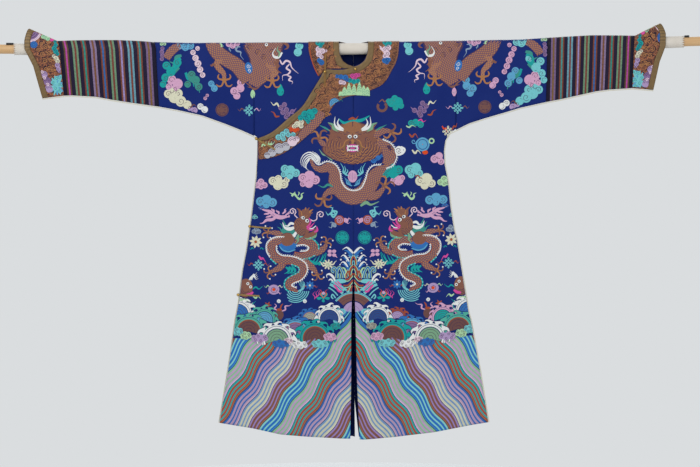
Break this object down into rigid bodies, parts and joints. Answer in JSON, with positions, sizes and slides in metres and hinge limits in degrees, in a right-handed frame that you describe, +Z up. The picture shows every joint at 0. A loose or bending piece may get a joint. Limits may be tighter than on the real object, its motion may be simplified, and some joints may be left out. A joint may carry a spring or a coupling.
{
  "type": "chinese dragon robe on a padded display rod",
  "caption": "Long-sleeved Chinese court robe with hoof cuffs, a curved front flap and slit skirt, hung open and flat through both sleeves on a padded wooden rod.",
  "frame": {"origin": "on the axis of the rod at the middle of the robe, where the rod holds the robe up", "axes": "+X along the rod towards the wearer's left, +Y from the front of the robe to its back, +Z up"},
  "size_m": [2.475, 0.0643, 1.4336],
  "materials": {
    "navy_silk": "navy silk satin brocaded in coloured silks, soft sheen",
    "striped_silk": "near-black silk woven with narrow coloured stripes",
    "cuff_silk": "near-black silk brocaded with clouds and waves",
    "gold_edging": "gold-thread brocade ribbon, matt metallic glint",
    "collar_silk": "near-black silk brocaded in gold and colours",
    "cream_piping": "cream silk piping",
    "loop_cord": "ochre silk loop",
    "gilt_button": "gilt ball button, worn",
    "rod_wood": "pale bare wood, sanded",
    "muslin": "undyed muslin over padding",
    "black_clip": "matt black"
  },
  "bodies": {
    "root": {"front_left": "navy_silk", "front_flap": "navy_silk", "front_under": "navy_silk", "back_left": "navy_silk", "back_right": "navy_silk", "sleeve_upper_left": "navy_silk", "sleeve_upper_right": "navy_silk", "sleeve_striped_left": "striped_silk", "sleeve_striped_right": "striped_silk", "cuff_left": "cuff_silk", "cuff_right": "cuff_silk", "cuff_edging_left": "gold_edging", "cuff_edging_right": "gold_edging", "collar_edging_front": "gold_edging", "collar_edging_under": "gold_edging", "collar_edging_back_left": "gold_edging", "collar_edging_back_right": "gold_edging", "collar_band_front": "collar_silk", "collar_band_under": "collar_silk", "collar_band_back_left": "collar_silk", "collar_band_back_right": "collar_silk", "piping_left": "cream_piping", "piping_right": "cream_piping", "loop_collar_corner": "loop_cord", "loop_underarm": "loop_cord", "loop_side": "loop_cord", "loop_lower_side": "loop_cord", "button_neck": "gilt_button", "button_collar_corner": "gilt_button", "button_underarm": "gilt_button", "button_side": "gilt_button", "button_lower_side": "gilt_button", "rod": "rod_wood", "rod_padding": "muslin", "rod_clip_left": "black_clip", "rod_clip_right": "black_clip"}
  },
  "joints": []
}
